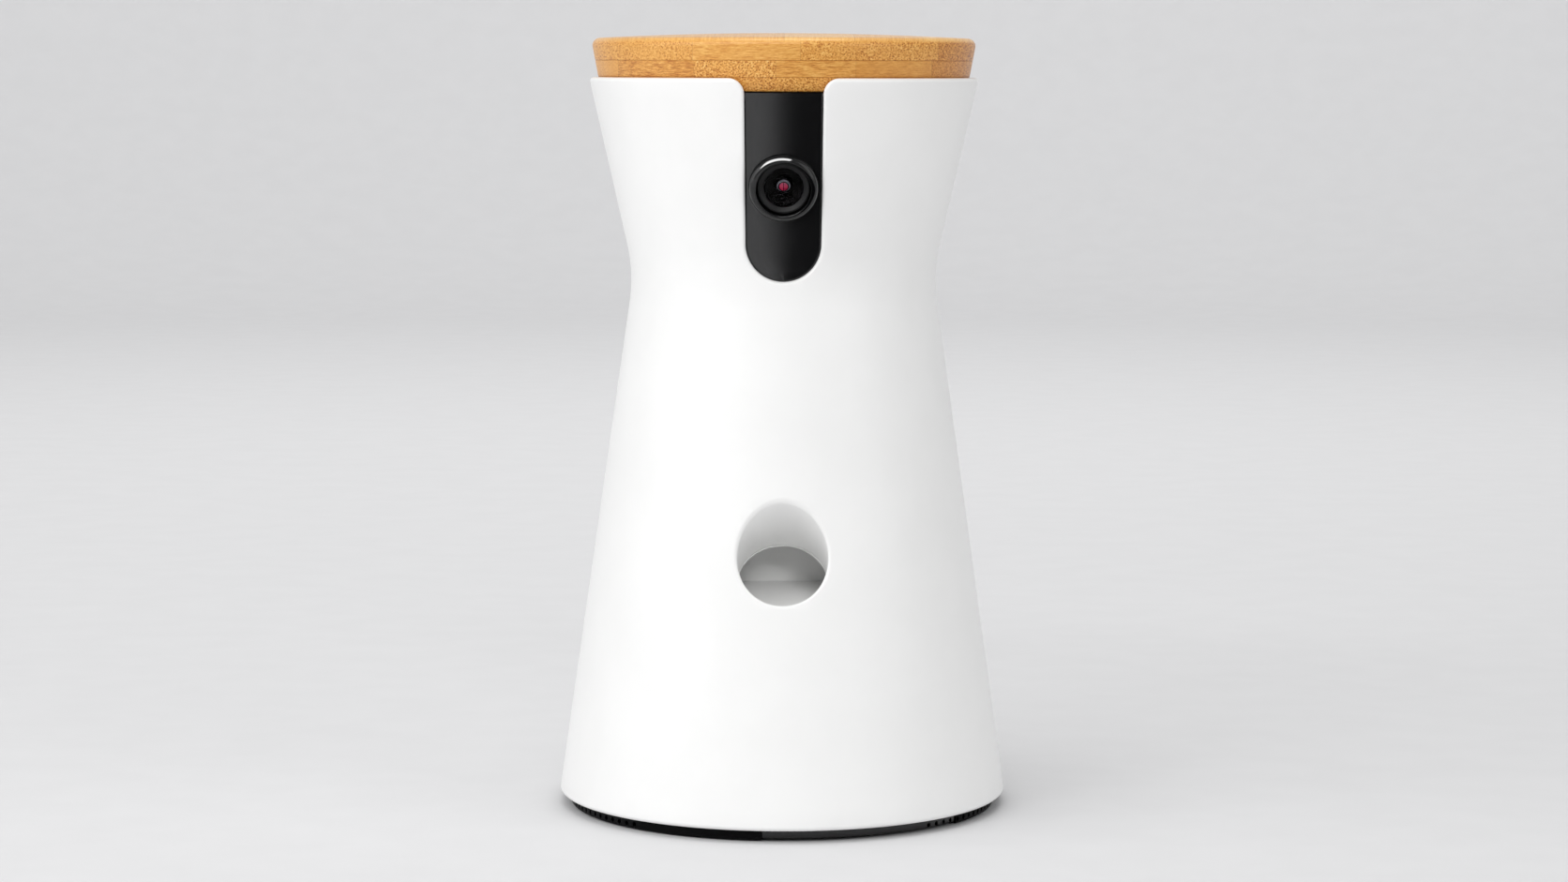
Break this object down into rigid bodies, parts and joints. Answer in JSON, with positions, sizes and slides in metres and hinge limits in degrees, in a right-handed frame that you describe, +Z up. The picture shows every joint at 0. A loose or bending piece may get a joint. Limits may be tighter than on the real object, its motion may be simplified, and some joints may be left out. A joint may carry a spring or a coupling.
{
  "type": "treat tossing pet camera",
  "caption": "Oval hourglass pet camera with a bamboo lid, a treat bin, a feed disc and a sprung paddle that throws treats.",
  "frame": {"origin": "on the table under the middle of the body", "axes": "+Z up, the camera and the treat opening face -Y, +X is the right side seen from the front"},
  "size_m": [0.1302, 0.1496, 0.225],
  "materials": {
    "white_shell": "satin moulded white plastic",
    "grey_plastic": "plain moulded light grey plastic",
    "black_plastic": "satin moulded black plastic",
    "gloss_black": "polished black plastic",
    "lens_ring": "satin black",
    "lens_glass": "coated dark glass",
    "red_glass": "lens with a red coating",
    "bamboo": "laminated bamboo, clear satin finish",
    "rubber": "matt black rubber",
    "silicone": "soft pale silicone",
    "steel": "plain bright steel",
    "motor_can": "rolled steel can",
    "brass": "turned brass",
    "gear_plastic": "natural moulded gear plastic",
    "circuit_board": "green circuit board",
    "chip": "moulded chip",
    "smoked_window": "smoked clear plastic",
    "speaker_paper": "pressed paper",
    "cable": "black sleeved cable"
  },
  "bodies": {
    "body": {"outer_shell": "white_shell", "base_tray": "black_plastic", "status_light_window": "smoked_window", "light_board": "circuit_board", "ballast_plate": "steel", "rubber_foot_1": "rubber", "rubber_foot_2": "rubber", "rubber_foot_3": "rubber", "rubber_foot_4": "rubber", "base_screw_1": "steel", "base_screw_2": "steel", "base_screw_3": "steel", "base_screw_4": "steel", "speaker_frame": "black_plastic", "speaker_cone": "speaker_paper", "speaker_magnet": "steel", "power_board": "circuit_board", "usb_socket": "steel", "wifi_module": "motor_can", "reset_switch": "chip", "tower_frame": "grey_plastic", "treat_hopper": "grey_plastic", "rotor_bush": "brass", "motor_bracket": "steel", "feed_motor": "motor_can", "toss_housing": "grey_plastic", "toss_spring": "steel", "release_shaft": "steel", "toss_motor": "motor_can", "camera_panel": "gloss_black", "lens_bezel": "gloss_black", "lens_barrel": "lens_ring", "front_element": "lens_glass", "inner_element": "red_glass", "lens_holder": "black_plastic", "image_sensor": "chip", "camera_board": "circuit_board", "infrared_board": "circuit_board", "camera_cable": "cable", "feed_motor_lead": "cable", "toss_motor_lead": "cable"},
    "lid": {"bamboo_lid": "bamboo", "lid_plug": "white_shell", "lid_seal": "silicone"},
    "rotor": {"feed_rotor": "grey_plastic", "rotor_agitator": "silicone", "rotor_shaft": "steel", "rotor_gear": "gear_plastic"},
    "feed_drive": {"feed_pinion": "brass"},
    "paddle": {"toss_paddle": "grey_plastic", "paddle_shaft": "steel", "paddle_quadrant": "gear_plastic", "spring_arm": "gear_plastic"},
    "release": {"release_gear": "gear_plastic", "reduction_gear": "gear_plastic"},
    "toss_drive": {"toss_pinion": "brass"},
    "button": {"reset_button": "grey_plastic"}
  },
  "joints": [
    {"name": "lid_lift", "type": "slide", "parent": "body", "child": "lid", "axis": [0, 0, 1], "range_m": [0, 0.03]},
    {"name": "rotor_spin", "type": "hinge", "parent": "body", "child": "rotor", "pos_m": [0, 0, 0.1146], "axis": [0, 0, 1], "continuous": true},
    {"name": "feed_drive_spin", "type": "hinge", "parent": "body", "child": "feed_drive", "pos_m": [0, 0.0189, 0.0993], "axis": [0, 0, 1], "continuous": true},
    {"name": "paddle_swing", "type": "hinge", "parent": "body", "child": "paddle", "pos_m": [0, -0.05004, 0.05879], "axis": [1, 0, 0], "range_deg": [0, 39.6], "deforming": ["toss_spring"]},
    {"name": "release_turn", "type": "hinge", "parent": "body", "child": "release", "pos_m": [0, -0.0399, 0.03704], "axis": [1, 0, 0], "range_deg": [-79.3, 0]},
    {"name": "toss_drive_spin", "type": "hinge", "parent": "body", "child": "toss_drive", "pos_m": [0, -0.0228, 0.03704], "axis": [1, 0, 0], "range_deg": [0, 222]},
    {"name": "reset_press", "type": "slide", "parent": "body", "child": "button", "axis": [0, 0, 1], "range_m": [0, 0.0006], "stiffness_N_per_m": 300, "springref_m": -0.001}
  ],
  "couplings": [
    {"joint": "feed_drive_spin", "follows": "rotor_spin", "ratio": -2.5},
    {"joint": "release_turn", "follows": "paddle_swing", "ratio": -2},
    {"joint": "toss_drive_spin", "follows": "paddle_swing", "ratio": 5.6}
  ]
}
